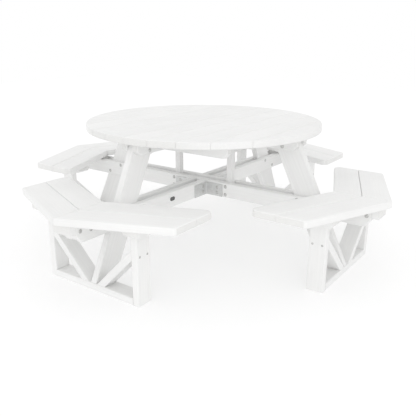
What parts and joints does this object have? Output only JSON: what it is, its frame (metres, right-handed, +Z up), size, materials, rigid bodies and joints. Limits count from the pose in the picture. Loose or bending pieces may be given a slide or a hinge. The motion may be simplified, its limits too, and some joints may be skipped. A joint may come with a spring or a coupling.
{
  "type": "round picnic table",
  "caption": "Round slatted picnic table on crossed double beams, with a splayed leg and a mitred V-shaped bench on a braced frame at the end of each beam.",
  "frame": {"origin": "on the floor, under the centre of the round top", "axes": "+Z up; X along the slats of the top and along one beam, Y along the other beam; the benches stand at +X (east), +Y (north), -X (west) and -Y (south)"},
  "size_m": [2.3316, 2.3316, 0.745],
  "materials": {
    "white_lumber": "matte, finely brushed along the boards",
    "stainless_steel": "satin",
    "dark_plastic": "satin",
    "galvanised_steel": "dull galvanised"
  },
  "bodies": {
    "root": {"beam_plug": "dark_plastic", "bolt_nuts": "stainless_steel", "bracket_bolts": "stainless_steel", "centre_posts": "white_lumber", "corner_brackets": "galvanised_steel", "cross_battens": "white_lumber", "east_beam_north_board": "white_lumber", "east_beam_south_board": "white_lumber", "east_bench_braces": "white_lumber", "east_bench_left_inner_board": "white_lumber", "east_bench_left_outer_board": "white_lumber", "east_bench_posts": "white_lumber", "east_bench_right_inner_board": "white_lumber", "east_bench_right_outer_board": "white_lumber", "east_bench_runner": "white_lumber", "east_leg": "white_lumber", "frame_screws": "stainless_steel", "long_beam_east_board": "white_lumber", "long_beam_west_board": "white_lumber", "long_top_rails": "white_lumber", "north_bench_braces": "white_lumber", "north_bench_left_inner_board": "white_lumber", "north_bench_left_outer_board": "white_lumber", "north_bench_posts": "white_lumber", "north_bench_right_inner_board": "white_lumber", "north_bench_right_outer_board": "white_lumber", "north_bench_runner": "white_lumber", "north_leg": "white_lumber", "seat_battens": "white_lumber", "seat_blocks": "white_lumber", "short_top_rails": "white_lumber", "south_bench_braces": "white_lumber", "south_bench_left_inner_board": "white_lumber", "south_bench_left_outer_board": "white_lumber", "south_bench_posts": "white_lumber", "south_bench_right_inner_board": "white_lumber", "south_bench_right_outer_board": "white_lumber", "south_bench_runner": "white_lumber", "south_leg": "white_lumber", "through_bolts": "stainless_steel", "top_slat_01": "white_lumber", "top_slat_02": "white_lumber", "top_slat_03": "white_lumber", "top_slat_04": "white_lumber", "top_slat_05": "white_lumber", "top_slat_06": "white_lumber", "top_slat_07": "white_lumber", "top_slat_08": "white_lumber", "top_slat_09": "white_lumber", "top_slat_10": "white_lumber", "west_beam_north_board": "white_lumber", "west_beam_south_board": "white_lumber", "west_bench_braces": "white_lumber", "west_bench_left_inner_board": "white_lumber", "west_bench_left_outer_board": "white_lumber", "west_bench_posts": "white_lumber", "west_bench_right_inner_board": "white_lumber", "west_bench_right_outer_board": "white_lumber", "west_bench_runner": "white_lumber", "west_leg": "white_lumber"}
  },
  "joints": []
}
